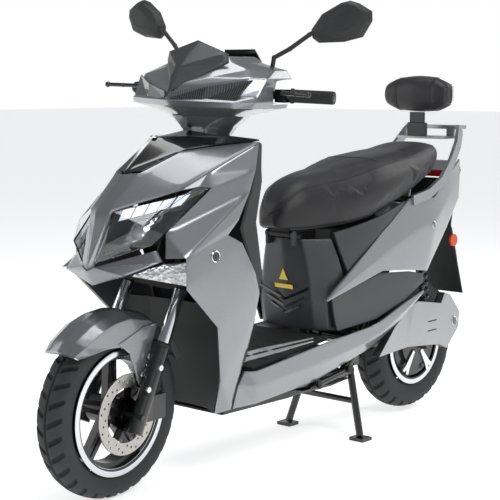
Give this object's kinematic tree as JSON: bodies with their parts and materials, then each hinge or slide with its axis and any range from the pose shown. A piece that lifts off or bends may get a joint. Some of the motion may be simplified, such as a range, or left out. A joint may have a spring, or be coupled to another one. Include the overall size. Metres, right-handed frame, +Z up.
{
  "type": "electric motor scooter",
  "caption": "Step-through electric scooter with faired nose, flat floorboard, hinged seat over a storage bucket, hub-motor rear wheel and disc-braked front wheel, on its centre stand.",
  "frame": {"origin": "on the ground, midway between the axles on the centre plane", "axes": "+Z up; -Y is the direction of travel; +X is the rider's left"},
  "size_m": [0.8325, 1.7462, 1.3016],
  "materials": {
    "silver_panel": "metallic grey lacquer, clear coated",
    "gloss_black": "high gloss",
    "matt_black": "fine grained moulding",
    "dark_panel": "satin dark grey",
    "tyre": "matt",
    "black_paint": "semi-gloss",
    "steel": "machined",
    "alloy": "cast, satin",
    "rubber": "moulded",
    "clear_lens": "clear",
    "red_lens": "tinted",
    "amber_lens": "tinted",
    "vinyl": "grained vinyl",
    "battery_case": "powder coat",
    "mirror_housing": "fine grained moulding"
  },
  "bodies": {
    "chassis": {"backrest_bracket": "black_paint", "backrest_pad": "vinyl", "battery_pack": "battery_case", "belly_pan": "matt_black", "floor_skirts": "silver_panel", "floorboard": "rubber", "frame": "black_paint", "front_indicators": "clear_lens", "front_wings": "silver_panel", "grab_rail": "alloy", "headlamp_housing": "matt_black", "headlamp_lenses": "clear_lens", "inner_mudguard": "matt_black", "leg_shield": "matt_black", "motor_covers": "alloy", "nose_lip": "silver_panel", "nose_panel": "silver_panel", "rear_mudguard": "matt_black", "rear_shocks": "black_paint", "seat_box": "dark_panel", "side_panels": "dark_panel", "side_reflectors": "amber_lens", "storage_bucket": "matt_black", "swingarm": "black_paint", "tail_lamp": "red_lens", "tail_panels": "silver_panel", "top_cover": "gloss_black"},
    "front_wheel": {"front_tyre": "tyre", "front_rim": "black_paint", "brake_disc": "steel"},
    "rear_wheel": {"rear_tyre": "tyre", "rear_hub": "black_paint"},
    "steering": {"fork": "black_paint", "brake_caliper": "black_paint", "brake_hose": "rubber", "front_mudguard": "silver_panel", "handlebar": "black_paint", "grips": "rubber", "brake_levers": "black_paint", "handlebar_cowl": "silver_panel", "visor": "dark_panel", "position_lamp": "clear_lens", "mirrors": "mirror_housing"},
    "seat": {"seat_cushion": "vinyl", "seat_pan": "matt_black"},
    "centre_stand": {"centre_stand": "black_paint"},
    "side_stand": {"side_stand": "black_paint"}
  },
  "joints": [
    {"name": "steering", "type": "hinge", "parent": "chassis", "child": "steering", "pos_m": [0, -0.62753, 0.21804], "axis": [0, 0.4384, 0.8988], "range_deg": [-45, 35]},
    {"name": "front_wheel_spin", "type": "hinge", "parent": "steering", "child": "front_wheel", "pos_m": [0.00218, -0.64991, 0.22896], "axis": [0.9962, 0.0783, -0.0382], "continuous": true},
    {"name": "rear_wheel_spin", "type": "hinge", "parent": "chassis", "child": "rear_wheel", "pos_m": [0, 0.65, 0.23], "axis": [1, 0, 0], "continuous": true},
    {"name": "seat_hinge", "type": "hinge", "parent": "chassis", "child": "seat", "pos_m": [0, 0.03, 0.63], "axis": [1, 0, 0], "range_deg": [0, 75]},
    {"name": "centre_stand", "type": "hinge", "parent": "chassis", "child": "centre_stand", "pos_m": [0, 0.262, 0.232], "axis": [1, 0, 0], "range_deg": [0, 75]},
    {"name": "side_stand", "type": "hinge", "parent": "chassis", "child": "side_stand", "pos_m": [0.133, 0.04, 0.2], "axis": [0.9501, 0, 0.3118], "range_deg": [-100, 0]}
  ]
}
